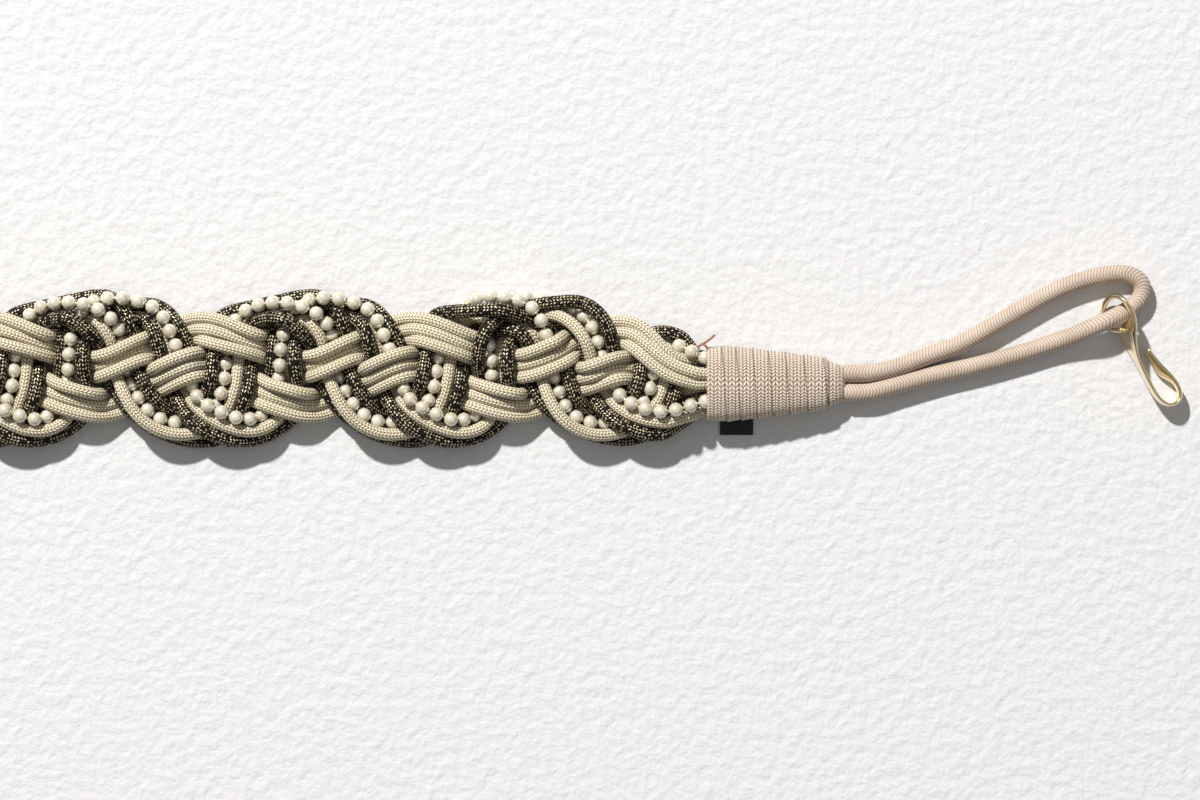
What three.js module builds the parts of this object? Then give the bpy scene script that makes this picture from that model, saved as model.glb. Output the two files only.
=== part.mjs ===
// A rope belt: a flat braid of beige cords, black and gold cords and pearl strings. Each end of the
// braid runs into a wrap of tape with an elastic loop, and the right loop carries an S-hook.
// Millimetres, X along the belt, Y across it, Z up from the surface that it lies on.
import * as THREE from 'three';

// Braid
const REPEAT_LENGTH = 70;
const REPEAT_COUNT = 6;
const BRAID_WIDTH = 48;
const FIRST_WINDOW = 0.762; // share of a repeat from the left wrap to where the first mixed run crosses up
const BEIGE_DIAMETER = 3.7;
const BLACK_DIAMETER = 4.2;
const PEARL_DIAMETER = 4.6;
const STRAND_CLEARANCE = 0.12;
const STRAND_SIDES = 6;
const RUN_IN = 4.5; // straight stretch of each strand before a wrap
const NARROWING = 32; // stretch over which the braid narrows to a wrap's mouth
const NARROWED_SHARE = 0.8; // share of the wrap's width that the runs' middle lines keep there
const LAST_CROSSING = 10; // no station of the braid's pattern lies nearer than this to a wrap
const MOUTH_ROWS = 3; // strands that lie on top of each other in a wrap's mouth

// Wraps
const WRAP_LENGTH = 45.5;
const WRAP_WIDTH = 25.4;
const WRAP_HEIGHT = 14;
const RIGHT_WRAP_DROP = 6.2; // how far the right wrap lies off the braid's middle line
const LEFT_WRAP_DROP = 0;
const SEAT_GAP = 0.3;

// Elastic loops
const LOOP_DIAMETER = 6;
const LOOP_SIDES = 8;

// S-hook
const HOOK_LENGTH = 40;
const HOOK_THICKNESS = 1.6;
const HOOK_WIDTH = 10.7;
const HOOK_PLACE = { out: 92, across: 23.8 }; // where the loop passes through the hook's ring
const HOOK_SECTIONS = 32;

// Label tab
const LABEL_WIDTH = 11;
const LABEL_REACH = 4.4; // how far it shows past the wrap's side
const LABEL_THICKNESS = 0.8;
const LABEL_INSET = 4.7; // from the wrap's mouth

const MOUTH = (REPEAT_LENGTH * REPEAT_COUNT) / 2;

// Settling of the strands against each other
const EASY_ROUNDS = 260; // rounds in which the strands are still drawn to where they started
const ROUNDS = 2 * EASY_ROUNDS;
const PULL = 0.2; // share of the way back that a first round draws them
const SMOOTHING = 0.25; // share of that pull that straightens a strand between its neighbours
const BEDDING = 0.8; // how far down a full pull draws them
const SEARCH_ROUNDS = 10; // the list of near pieces is made again after as many rounds
const SEARCH_MARGIN = 2;
const OWN_PIECES = 4; // pieces of one strand nearer along it than this don't press on each other

const FINISH = {
  beige: { color: 0xc8b88e, roughness: 0.55, metalness: 0 },
  black: { color: 0x1c1a16, roughness: 0.5, metalness: 0.2 },
  pearls: { color: 0xf0e8da, roughness: 0.25, metalness: 0 },
  tape: { color: 0xcdb9a3, roughness: 0.8, metalness: 0 },
  elastic: { color: 0xd2b9a2, roughness: 0.75, metalness: 0 },
  gold: { color: 0xd8b368, roughness: 0.22, metalness: 1 },
  label: { color: 0x17181a, roughness: 0.8, metalness: 0 },
};

// How the strands of a mixed run lie where they aren't side by side: aside in pearl widths to the left
// of the run's middle, and lift in pearl widths. UNDER_TURN is for the second mixed run where it passes
// under the first one's top turn, AFTER_TURN for the way down, and LOOSE_TURN for the braid's last turns.
const FLAT = {};
const TOP_TURN = {
  black_outside: { aside: -0.1, lift: -0.5 },
  pearls: { aside: 0.8, lift: 0.6 },
  beige: { aside: -0.9, lift: -0.5 },
  black_inside: { aside: -0.6, lift: 0.9 },
};
const LOW_TURN = {
  black_outside: { aside: 1.5, lift: -0.3 },
  pearls: { aside: 0.4, lift: 0.5 },
  beige: { aside: -0.65, lift: 0.5 },
  black_inside: { aside: -0.62, lift: -0.5 },
};

// One repeat of each run of strands. along is a share of the repeat and across a share of half the
// braid's width. level is 0 where the run passes under and 1 where it passes over, and squeeze draws
// strands that lie side by side together. last gives what is different in the braid's last repeat.
const UNDER_TURN = {
  black_outside: { aside: 0.45, lift: 0 },
  pearls: { aside: 1.35, lift: 0 },
  beige: { aside: -0.4, lift: 0 },
  black_inside: { aside: -1.3, lift: 0 },
};
const AFTER_TURN = {
  black_outside: { aside: 0.8, lift: -0.5 },
  pearls: { aside: 0.5, lift: 0.3 },
  beige: { aside: -0.5, lift: 0 },
  black_inside: { aside: -1.25, lift: 0 },
};
const LOOSE_TURN = {
  black_outside: { aside: 0.1, lift: 0.7 },
  pearls: { aside: 0.45, lift: -0.5 },
  beige: { aside: -0.35, lift: -0.5 },
  black_inside: { aside: -0.75, lift: 0.3 },
};
const MIXED_ONE = [
  { along: 0.0, across: -0.264, level: 1, squeeze: 1, lie: FLAT },
  { along: 0.01, across: 0.181, level: 0.5, squeeze: 1, lie: FLAT },
  { along: 0.019, across: 0.486, level: 0, squeeze: 1, lie: FLAT },
  { along: 0.095, across: 0.66, level: 0.5, squeeze: 1, lie: TOP_TURN, last: { across: 0.6, lie: LOOSE_TURN } },
  { along: 0.233, across: 0.72, level: 0.5, squeeze: 1, lie: TOP_TURN, last: { across: 0.64, lie: LOOSE_TURN } },
  { along: 0.376, across: 0.64, level: 1, squeeze: 0.85, lie: AFTER_TURN },
  { along: 0.438, across: 0.403, level: 0.6, squeeze: 0.85, lie: FLAT },
  { along: 0.471, across: 0.069, level: 0, squeeze: 0.9, lie: FLAT },
  { along: 0.519, across: -0.264, level: 0.9, squeeze: 0.9, lie: FLAT },
  { along: 0.581, across: -0.597, level: 0.9, squeeze: 1, lie: LOW_TURN },
  { along: 0.705, across: -0.833, level: 0.5, squeeze: 1, lie: LOW_TURN },
  { along: 0.876, across: -0.764, level: 0, squeeze: 0.9, lie: FLAT },
];
const MIXED_TWO = [
  { along: 0.238, across: -0.347, level: 0, squeeze: 1, lie: FLAT },
  { along: 0.238, across: 0.014, level: 0.9, squeeze: 1, lie: FLAT },
  { along: 0.252, across: 0.36, level: 0.7, squeeze: 1, lie: FLAT },
  { along: 0.343, across: 0.56, level: 0, squeeze: 0.9, lie: UNDER_TURN },
  { along: 0.486, across: 0.66, level: 0.5, squeeze: 1, lie: TOP_TURN, last: { across: 0.64, lie: LOOSE_TURN } },
  { along: 0.619, across: 0.62, level: 0.6, squeeze: 0.85, lie: AFTER_TURN },
  { along: 0.676, across: 0.431, level: 1, squeeze: 0.9, lie: FLAT },
  { along: 0.733, across: 0.097, level: 0.5, squeeze: 0.9, lie: FLAT },
  { along: 0.79, across: -0.236, level: 0, squeeze: 0.9, lie: FLAT },
  { along: 0.876, across: -0.597, level: 1, squeeze: 0.9, lie: FLAT },
  { along: 1.01, across: -0.833, level: 1, squeeze: 1, lie: LOW_TURN },
  { along: 1.171, across: -0.764, level: 0.4, squeeze: 1, lie: LOW_TURN },
];
const UPPER_PLAIN = [
  { along: -0.12, across: 0.361, level: 1, squeeze: 0.95, lie: FLAT },
  { along: 0.086, across: 0.278, level: 1, squeeze: 0.95, lie: FLAT },
  { along: 0.152, across: 0.208, level: 0, squeeze: 0.95, lie: FLAT },
  { along: 0.314, across: 0.083, level: 0, squeeze: 0.95, lie: FLAT },
  { along: 0.381, across: 0.083, level: 1, squeeze: 0.95, lie: FLAT },
  { along: 0.543, across: 0.208, level: 1, squeeze: 0.95, lie: FLAT },
  { along: 0.619, across: 0.264, level: 0, squeeze: 0.95, lie: FLAT },
  { along: 0.757, across: 0.347, level: 0, squeeze: 0.95, lie: FLAT },
];
const LOWER_PLAIN = [
  { along: -0.133, across: -0.055, level: 0, squeeze: 1, lie: FLAT },
  { along: 0.086, across: -0.264, level: 0, squeeze: 1, lie: FLAT },
  { along: 0.152, across: -0.319, level: 1, squeeze: 1, lie: FLAT },
  { along: 0.333, across: -0.431, level: 1, squeeze: 1, lie: FLAT },
  { along: 0.419, across: -0.444, level: 0, squeeze: 1, lie: FLAT },
  { along: 0.59, across: -0.236, level: 0, squeeze: 1, lie: FLAT },
  { along: 0.652, across: -0.15, level: 1, squeeze: 1, lie: FLAT },
  { along: 0.775, across: -0.055, level: 1, squeeze: 1, lie: FLAT },
];

// The strands of a run, from its left side to its right as it goes up or along the belt
const PLAIN_STRANDS = [
  { name: 'beige_1', kind: 'beige', diameter: BEIGE_DIAMETER, proud: 0 },
  { name: 'beige_2', kind: 'beige', diameter: BEIGE_DIAMETER, proud: 0 },
  { name: 'beige_3', kind: 'beige', diameter: BEIGE_DIAMETER, proud: 0 },
];
const MIXED_STRANDS = [
  { name: 'black_outside', kind: 'black', diameter: BLACK_DIAMETER, proud: -0.1 },
  { name: 'pearls', kind: 'pearls', diameter: PEARL_DIAMETER, proud: 0.08 },
  { name: 'beige', kind: 'beige', diameter: BEIGE_DIAMETER, proud: 0.12 },
  { name: 'black_inside', kind: 'black', diameter: BLACK_DIAMETER, proud: -0.1 },
];
const RUNS = [
  { name: 'upper', rows: UPPER_PLAIN, strands: PLAIN_STRANDS },
  { name: 'lower', rows: LOWER_PLAIN, strands: PLAIN_STRANDS },
  { name: 'mixed_one', rows: MIXED_ONE, strands: MIXED_STRANDS },
  { name: 'mixed_two', rows: MIXED_TWO, strands: MIXED_STRANDS },
];

// A wrap's sections from its mouth, as shares of its length, width and height
const WRAP_SECTIONS = [
  { along: 0, width: 0.95, height: 0.98 },
  { along: 0.13, width: 1, height: 1 },
  { along: 0.37, width: 0.915, height: 0.94 },
  { along: 0.6, width: 0.81, height: 0.86 },
  { along: 0.875, width: 0.68, height: 0.74 },
  { along: 0.885, width: 0.6, height: 0.67 },
  { along: 0.96, width: 0.57, height: 0.63 },
  { along: 1, width: 0.51, height: 0.57 },
];

// Half of a wrap's section, from its flat underside to its top, as shares of half its width and of its height
const WRAP_SIDE = [
  { side: 0.6, rise: 0 },
  { side: 0.88, rise: 0.14 },
  { side: 1, rise: 0.42 },
  { side: 0.94, rise: 0.7 },
  { side: 0.7, rise: 0.91 },
  { side: 0.28, rise: 1 },
];

// Centre lines of the elastic loops, in millimetres: out from the wrap's small end, across from the
// wrap's middle and up from the surface
const RIGHT_LOOP = [
  { out: SEAT_GAP, across: 3.4, up: 4.3 },
  { out: 8.5, across: 3.5, up: 4.2 },
  { out: 16, across: 4.9, up: 3.8 },
  { out: 28.4, across: 9.3, up: 3.3 },
  { out: 39.2, across: 13.3, up: 3.1 },
  { out: 57.5, across: 23.6, up: 3.1 },
  { out: 70.2, across: 30.6, up: 3.1 },
  { out: 79.7, across: 34.3, up: 3.1 },
  { out: 89.3, across: 36.4, up: 3.1 },
  { out: 95, across: 36.2, up: 3.1 },
  { out: 98.7, across: 34, up: 3.1 },
  { out: 99.6, across: 31.1, up: 3.1 },
  { out: 98.6, across: 28.1, up: 3.1 },
  { out: 96.3, across: 25.8, up: 3.1 },
  { out: 93.5, across: 23.8, up: 3.5 },
  { out: 90.3, across: 22.1, up: 5.5 },
  { out: 87.5, across: 20.8, up: 6.8 },
  { out: 83.5, across: 19, up: 6.7 },
  { out: 77.5, across: 16.4, up: 4.8 },
  { out: 70.2, across: 13.7, up: 3.4 },
  { out: 57.4, across: 9.6, up: 3.1 },
  { out: 44.7, across: 6.1, up: 3.1 },
  { out: 31.9, across: 3.2, up: 3.3 },
  { out: 16, across: -0.9, up: 3.8 },
  { out: 8.5, across: -2.8, up: 4.2 },
  { out: SEAT_GAP, across: -3, up: 4.3 },
];
const LEFT_LOOP = [
  { out: SEAT_GAP, across: 3.3, up: 4.3 },
  { out: 9, across: 3.8, up: 4.2 },
  { out: 31, across: 7.6, up: 3.2 },
  { out: 60, across: 12, up: 3.1 },
  { out: 74, across: 12.7, up: 3.1 },
  { out: 86.9, across: 12.6, up: 3.1 },
  { out: 91.8, across: 11.6, up: 3.1 },
  { out: 95.9, across: 8.9, up: 3.1 },
  { out: 98.6, across: 4.9, up: 3.1 },
  { out: 99.6, across: 0, up: 3.1 },
  { out: 98.6, across: -4.9, up: 3.1 },
  { out: 95.9, across: -8.9, up: 3.1 },
  { out: 91.8, across: -11.6, up: 3.1 },
  { out: 86.9, across: -12.6, up: 3.1 },
  { out: 74, across: -12.7, up: 3.1 },
  { out: 60, across: -12, up: 3.1 },
  { out: 31, across: -7.6, up: 3.2 },
  { out: 9, across: -3.8, up: 4.2 },
  { out: SEAT_GAP, across: -3.3, up: 4.3 },
];

// The hook's strip from the tip of its ring to its open tip, by its upper edge. along and across are
// shares of the hook's length, up and width are shares of its full width, and lean is how many degrees
// the upper edge leans over to the left of the strip's run.
const HOOK_STRIP = [
  { along: 0.005, across: -0.148, up: 0.682, width: 0.159, lean: 0 },
  { along: -0.048, across: -0.155, up: 0.514, width: 0.187, lean: 0 },
  { along: -0.092, across: -0.128, up: 0.346, width: 0.215, lean: 0 },
  { along: -0.128, across: -0.05, up: 0.28, width: 0.22, lean: 0 },
  { along: -0.138, across: 0.022, up: 0.393, width: 0.28, lean: 0 },
  { along: -0.107, across: 0.102, up: 0.579, width: 0.318, lean: 0 },
  { along: -0.05, across: 0.133, up: 0.757, width: 0.355, lean: 0 },
  { along: 0.022, across: 0.1, up: 0.935, width: 0.374, lean: 0 },
  { along: 0.077, across: 0.015, up: 1.047, width: 0.374, lean: 2 },
  { along: 0.115, across: -0.075, up: 1.028, width: 0.467, lean: 5 },
  { along: 0.123, across: -0.173, up: 0.963, width: 1, lean: 35 },
  { along: 0.123, across: -0.235, up: 0.907, width: 0.916, lean: 30 },
  { along: 0.128, across: -0.3, up: 0.869, width: 0.813, lean: 18 },
  { along: 0.14, across: -0.38, up: 0.85, width: 0.766, lean: 6 },
  { along: 0.193, across: -0.503, up: 0.832, width: 0.729, lean: 0 },
  { along: 0.264, across: -0.64, up: 0.794, width: 0.701, lean: 0 },
  { along: 0.345, across: -0.748, up: 0.71, width: 0.626, lean: 0 },
  { along: 0.44, across: -0.78, up: 0.645, width: 0.57, lean: 0 },
  { along: 0.51, across: -0.705, up: 0.589, width: 0.523, lean: 0 },
  { along: 0.475, across: -0.59, up: 0.561, width: 0.505, lean: 0 },
  { along: 0.405, across: -0.5, up: 0.523, width: 0.477, lean: -30 },
  { along: 0.33, across: -0.42, up: 0.486, width: 0.43, lean: -32 },
  { along: 0.27, across: -0.35, up: 0.439, width: 0.336, lean: -22 },
  { along: 0.235, across: -0.305, up: 0.393, width: 0.243, lean: -14 },
];

const MOUTH_WIDTH = WRAP_SECTIONS[0].width * WRAP_WIDTH;

const clamp = THREE.MathUtils.clamp;

function finished(kind) {
  return new THREE.MeshStandardMaterial(FINISH[kind]);
}

// A curve whose equal steps fall on its own points
class StationCurve extends THREE.CatmullRomCurve3 {
  getPointAt(share, target) {
    return this.getPoint(share, target);
  }

  getTangentAt(share, target = new THREE.Vector3()) {
    const atEnd = share === 0 || share === 1;
    if (!atEnd) return this.getTangent(share, target);
    const [first, second] = share === 0 ? [0, 1] : [this.points.length - 2, this.points.length - 1];
    return target.subVectors(this.points[second], this.points[first]).normalize();
  }
}

function tubeAlong(points, diameter, sides) {
  const section = new THREE.Shape();
  for (let i = 0; i < sides; i += 1) {
    const angle = (i / sides) * Math.PI * 2;
    const x = (Math.cos(angle) * diameter) / 2;
    const y = (Math.sin(angle) * diameter) / 2;
    if (i === 0) section.moveTo(x, y);
    else section.lineTo(x, y);
  }
  const extrudePath = new StationCurve(points);
  return new THREE.ExtrudeGeometry(section, { steps: points.length - 1, bevelEnabled: false, extrudePath });
}

// A closed skin over rings of equally many points, each ring going round the same way
function skinOver(rings) {
  const sides = rings[0].length;
  const last = rings.length - 1;
  const corners = rings.flat();
  const faces = [];
  for (let r = 0; r < last; r += 1) {
    for (let i = 0; i < sides; i += 1) {
      const a = r * sides + i;
      const b = r * sides + ((i + 1) % sides);
      faces.push([a, b, b + sides], [a, b + sides, a + sides]);
    }
  }
  for (let i = 1; i < sides - 1; i += 1) {
    faces.push([0, i + 1, i]);
    faces.push([last * sides, last * sides + i, last * sides + i + 1]);
  }
  const geometry = new THREE.BufferGeometry();
  geometry.setAttribute('position', new THREE.Float32BufferAttribute(corners.flatMap((p) => p.toArray()), 3));
  geometry.setIndex(faces.flat());
  geometry.computeVertexNormals();
  return geometry;
}

// How far a place along the belt is drawn in towards the wrap that it is near
function narrowed(x, y) {
  const open = THREE.MathUtils.smoothstep(MOUTH - Math.abs(x), 0, NARROWING);
  const drop = x > 0 ? RIGHT_WRAP_DROP : LEFT_WRAP_DROP;
  const share = THREE.MathUtils.lerp((NARROWED_SHARE * WRAP_WIDTH) / BRAID_WIDTH, 1, open);
  return y * share - drop * (1 - open);
}

function stationsOf(rows) {
  const start = -MOUTH + (FIRST_WINDOW - 2) * REPEAT_LENGTH;
  const stations = [];
  for (let repeat = 0; repeat <= REPEAT_COUNT + 2; repeat += 1) {
    for (const { last, ...usual } of rows) {
      const row = { ...usual, ...(repeat === REPEAT_COUNT ? last : {}) };
      const x = start + (repeat + row.along) * REPEAT_LENGTH;
      stations.push({ ...row, x, y: (row.across * BRAID_WIDTH) / 2 });
    }
  }
  return stations;
}

// Places of a run's strands beside its centre line, left side first
function lanesOf(strands) {
  const widths = strands.map((strand) => strand.diameter + 2 * STRAND_CLEARANCE);
  const total = widths.reduce((sum, width) => sum + width, 0);
  let used = 0;
  return widths.map((width) => {
    const place = total / 2 - used - width / 2;
    used += width;
    return place;
  });
}

function routeOf(run, index) {
  const strand = run.strands[index];
  const lane = lanesOf(run.strands)[index];
  const stations = stationsOf(run.rows);
  const points = [];
  for (let i = 1; i < stations.length - 1; i += 1) {
    const { x, y, level, squeeze, lie } = stations[i];
    if (Math.abs(x) > MOUTH - LAST_CROSSING) continue;
    const heading = Math.atan2(stations[i + 1].y - stations[i - 1].y, stations[i + 1].x - stations[i - 1].x);
    const own = lie[strand.name];
    const side = own ? own.aside * PEARL_DIAMETER : lane * squeeze;
    const px = x - Math.sin(heading) * side;
    const py = y + Math.cos(heading) * side;
    const layer = Math.max(0, level + (own ? own.lift : 0));
    const pz = (layer + 0.5 + strand.proud) * PEARL_DIAMETER;
    const inside = clamp(px, RUN_IN - MOUTH, MOUTH - RUN_IN);
    points.push(new THREE.Vector3(inside, narrowed(inside, py), pz));
  }
  return points;
}

// Deals the strands to places in a wrap's mouth, in columns from its far side to its near side
function addRunIns(strands, side) {
  const column = MOUTH_WIDTH / Math.ceil(strands.length / MOUTH_ROWS);
  const drop = side > 0 ? RIGHT_WRAP_DROP : LEFT_WRAP_DROP;
  const nearest = (strand) => strand.points.at(side > 0 ? -1 : 0);
  const across = [...strands].sort((a, b) => nearest(b).y - nearest(a).y);
  for (let first = 0; first < across.length; first += MOUTH_ROWS) {
    const stack = across.slice(first, first + MOUTH_ROWS).sort((a, b) => nearest(a).z - nearest(b).z);
    const y = (MOUTH_WIDTH - column) / 2 - (first / MOUTH_ROWS) * column - drop;
    let z = 0;
    for (const strand of stack) {
      const ends = [MOUTH - RUN_IN, MOUTH - SEAT_GAP].map((x) => new THREE.Vector3(side * x, y, z + strand.radius));
      if (side > 0) strand.points.push(...ends);
      else strand.points.unshift(...ends.reverse());
      z += 2 * strand.radius + STRAND_CLEARANCE;
    }
  }
}

// Shares along two straight pieces where they come nearest
function nearestShares(a, b, c, d) {
  const u = new THREE.Vector3().subVectors(b, a);
  const v = new THREE.Vector3().subVectors(d, c);
  const w = new THREE.Vector3().subVectors(a, c);
  const uu = u.dot(u);
  const vv = v.dot(v);
  const uv = u.dot(v);
  const uw = u.dot(w);
  const vw = v.dot(w);
  const bend = uu * vv - uv * uv;
  let s = bend > 1e-9 ? clamp((uv * vw - vv * uw) / bend, 0, 1) : 0.5;
  let t = (uv * s + vw) / vv;
  if (t < 0 || t > 1) {
    t = clamp(t, 0, 1);
    s = clamp((uv * t - uw) / uu, 0, 1);
  }
  return [s, t];
}

function straightPieces(strands) {
  const pieces = [];
  strands.forEach((strand, owner) => {
    for (let i = 0; i < strand.points.length - 1; i += 1) {
      pieces.push({ owner, index: i, radius: strand.radius, a: strand.points[i], b: strand.points[i + 1] });
    }
  });
  return pieces;
}

function nearPairs(pieces, reach) {
  for (const piece of pieces) {
    piece.low = new THREE.Vector3().copy(piece.a).min(piece.b);
    piece.high = new THREE.Vector3().copy(piece.a).max(piece.b);
  }
  pieces.sort((p, q) => p.low.x - q.low.x);
  const pairs = [];
  for (let i = 0; i < pieces.length; i += 1) {
    const p = pieces[i];
    for (let j = i + 1; j < pieces.length && pieces[j].low.x < p.high.x + reach; j += 1) {
      const q = pieces[j];
      const apartY = Math.max(p.low.y - q.high.y, q.low.y - p.high.y);
      const sameStretch = p.owner === q.owner && Math.abs(p.index - q.index) < OWN_PIECES;
      if (apartY < reach && !sameStretch) pairs.push([p, q]);
    }
  }
  return pairs;
}

function moveAt(piece, share, shift, amount) {
  const near = 1 - share;
  const scale = amount / (near * near + share * share);
  piece.a.addScaledVector(shift, near * scale);
  piece.b.addScaledVector(shift, share * scale);
}

// Presses two pieces apart where they lie too close
function pressApart([p, q], pointP, pointQ, apart) {
  const [s, t] = nearestShares(p.a, p.b, q.a, q.b);
  pointP.lerpVectors(p.a, p.b, s);
  pointQ.lerpVectors(q.a, q.b, t);
  apart.subVectors(pointP, pointQ);
  const distance = apart.length();
  const short = p.radius + q.radius + STRAND_CLEARANCE - distance;
  if (short <= 0 || distance < 1e-6) return;
  apart.multiplyScalar(1 / distance);
  moveAt(p, s, apart, short / 2);
  moveAt(q, t, apart, -short / 2);
}

// Keeps the strands on the surface and their ends square to the wraps and inside the mouths
function hold(strand) {
  const { points, radius } = strand;
  for (const point of points) point.z = Math.max(point.z, radius);
  for (const side of [-1, 1]) {
    const order = side > 0 ? [points.length - 1, points.length - 2] : [0, 1];
    const [end, before] = order.map((i) => points[i]);
    const drop = side > 0 ? RIGHT_WRAP_DROP : LEFT_WRAP_DROP;
    const free = MOUTH_WIDTH / 2 - radius;
    const y = clamp((end.y + before.y) / 2, -drop - free, -drop + free);
    const z = clamp((end.z + before.z) / 2, radius, WRAP_HEIGHT - radius);
    end.set(side * (MOUTH - SEAT_GAP), y, z);
    before.set(side * (MOUTH - RUN_IN), y, z);
  }
}

// Lets the strands press on each other until they lie clear, each drawn to where it started
function settle(strands) {
  const widest = 2 * Math.max(...strands.map((strand) => strand.radius));
  const starts = strands.map((strand) => strand.points.map((point) => point.clone()));
  const work = [new THREE.Vector3(), new THREE.Vector3(), new THREE.Vector3()];
  const middle = new THREE.Vector3();
  let pairs = [];
  for (let round = 0; round < ROUNDS; round += 1) {
    if (round % SEARCH_ROUNDS === 0) pairs = nearPairs(straightPieces(strands), widest + SEARCH_MARGIN);
    const pull = PULL * Math.max(0, 1 - round / EASY_ROUNDS);
    strands.forEach(({ points }, owner) => {
      for (let i = 1; i < points.length - 1 && pull > 0; i += 1) {
        points[i].lerp(starts[owner][i], pull);
        middle.addVectors(points[i - 1], points[i + 1]).multiplyScalar(0.5);
        points[i].lerp(middle, pull * SMOOTHING);
        points[i].z -= pull * BEDDING;
      }
    });
    for (const pair of pairs) pressApart(pair, ...work);
    for (const strand of strands) hold(strand);
  }
}

function makeStrands() {
  const strands = RUNS.flatMap((run) => run.strands.map((strand, index) => ({
    name: `${run.name}_${strand.name}`,
    kind: strand.kind,
    radius: strand.diameter / 2,
    points: routeOf(run, index),
  })));
  for (const side of [-1, 1]) addRunIns(strands, side);
  settle(strands);
  return strands;
}

function makeBraid() {
  const braid = new THREE.Group();
  for (const strand of makeStrands()) {
    const mesh = new THREE.Mesh(tubeAlong(strand.points, 2 * strand.radius, STRAND_SIDES), finished(strand.kind));
    mesh.name = strand.name;
    braid.add(mesh);
  }
  return braid;
}

function makeWrap(name) {
  const rings = WRAP_SECTIONS.map(({ along, width, height }) => {
    const x = along * WRAP_LENGTH;
    const right = WRAP_SIDE.map(({ side, rise }) => (
      new THREE.Vector3(x, (side * width * WRAP_WIDTH) / 2, rise * height * WRAP_HEIGHT)
    ));
    const left = right.map((p) => new THREE.Vector3(p.x, -p.y, p.z)).reverse();
    return [...right, ...left];
  });
  const wrap = new THREE.Mesh(skinOver(rings), finished('tape'));
  wrap.name = name;
  return wrap;
}

function makeLoop(name, route) {
  const points = route.map(({ out, across, up }) => new THREE.Vector3(out, across, up));
  const loop = new THREE.Mesh(tubeAlong(points, LOOP_DIAMETER, LOOP_SIDES), finished('elastic'));
  loop.name = name;
  loop.position.x = WRAP_LENGTH;
  return loop;
}

// The strip's section below one place on its upper edge: thin across the strip, with bevelled edges
function hookRing(edge, tangent, width, lean) {
  const upright = new THREE.Vector3(0, 0, 1).addScaledVector(tangent, -tangent.z).normalize();
  upright.applyAxisAngle(tangent, -lean);
  const outward = new THREE.Vector3().crossVectors(upright, tangent);
  const half = HOOK_THICKNESS / 2;
  const bevel = half * 0.6;
  const corners = [[half, -0.5], [bevel, 0], [-bevel, 0], [-half, -0.5], [-bevel, -1], [bevel, -1]];
  return corners.map(([thick, wide]) => (
    edge.clone().addScaledVector(outward, thick).addScaledVector(upright, wide * width)
  ));
}

function makeHook() {
  const places = HOOK_STRIP.map(({ along, across, up }) => (
    new THREE.Vector3(along * HOOK_LENGTH, across * HOOK_LENGTH, up * HOOK_WIDTH)
  ));
  const line = new THREE.CatmullRomCurve3(places);
  const forms = new THREE.CatmullRomCurve3(HOOK_STRIP.map(({ width, lean }) => (
    new THREE.Vector3(width * HOOK_WIDTH, THREE.MathUtils.degToRad(lean), 0)
  )));
  const rings = [];
  for (let i = 0; i <= HOOK_SECTIONS; i += 1) {
    const share = i / HOOK_SECTIONS;
    const { x: width, y: lean } = forms.getPoint(share);
    rings.push(hookRing(line.getPoint(share), line.getTangent(share), width, lean));
  }
  const hook = new THREE.Mesh(skinOver(rings), finished('gold'));
  hook.name = 's_hook';
  hook.position.set(WRAP_LENGTH + HOOK_PLACE.out, HOOK_PLACE.across, 0);
  return hook;
}

// A tab that lies on the surface, from under the wrap's curved side outwards
function makeLabel() {
  const [flat, knee] = WRAP_SIDE;
  const curveShare = Math.min(1, LABEL_THICKNESS / (knee.rise * WRAP_HEIGHT));
  const hidden = (THREE.MathUtils.lerp(flat.side, knee.side, curveShare) * WRAP_WIDTH) / 2 + SEAT_GAP;
  const outer = WRAP_WIDTH / 2 + LABEL_REACH;
  const box = new THREE.BoxGeometry(LABEL_WIDTH, outer - hidden, LABEL_THICKNESS);
  const label = new THREE.Mesh(box, finished('label'));
  label.name = 'label_tab';
  label.position.set(LABEL_INSET + LABEL_WIDTH / 2, -(hidden + outer) / 2, LABEL_THICKNESS / 2);
  return label;
}

const rightEnd = new THREE.Group();
rightEnd.add(makeWrap('right_wrap'), makeLoop('right_loop', RIGHT_LOOP), makeHook(), makeLabel());
rightEnd.position.set(MOUTH, -RIGHT_WRAP_DROP, 0);

const leftEnd = new THREE.Group();
leftEnd.add(makeWrap('left_wrap'), makeLoop('left_loop', LEFT_LOOP));
leftEnd.position.set(-MOUTH, -LEFT_WRAP_DROP, 0);
leftEnd.rotation.z = Math.PI;

// The belt's origin is on the surface, under the middle of its braid and wraps
const belt = new THREE.Group();
belt.add(makeBraid(), rightEnd, leftEnd);
belt.updateMatrixWorld(true);
const middleParts = new THREE.Box3();
belt.traverse((node) => {
  const isLoopPiece = ['right_loop', 'left_loop', 's_hook'].includes(node.name);
  if (node.isMesh && !isLoopPiece) middleParts.expandByObject(node, true);
});
belt.position.y = -(middleParts.min.y + middleParts.max.y) / 2;

export default belt;
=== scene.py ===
"""Looks of the rope belt: braided cords, pearl strings, tape wraps, elastic loops and a gold S-hook."""
import math

import bmesh
import bpy
import numpy as np
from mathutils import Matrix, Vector, kdtree


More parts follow.
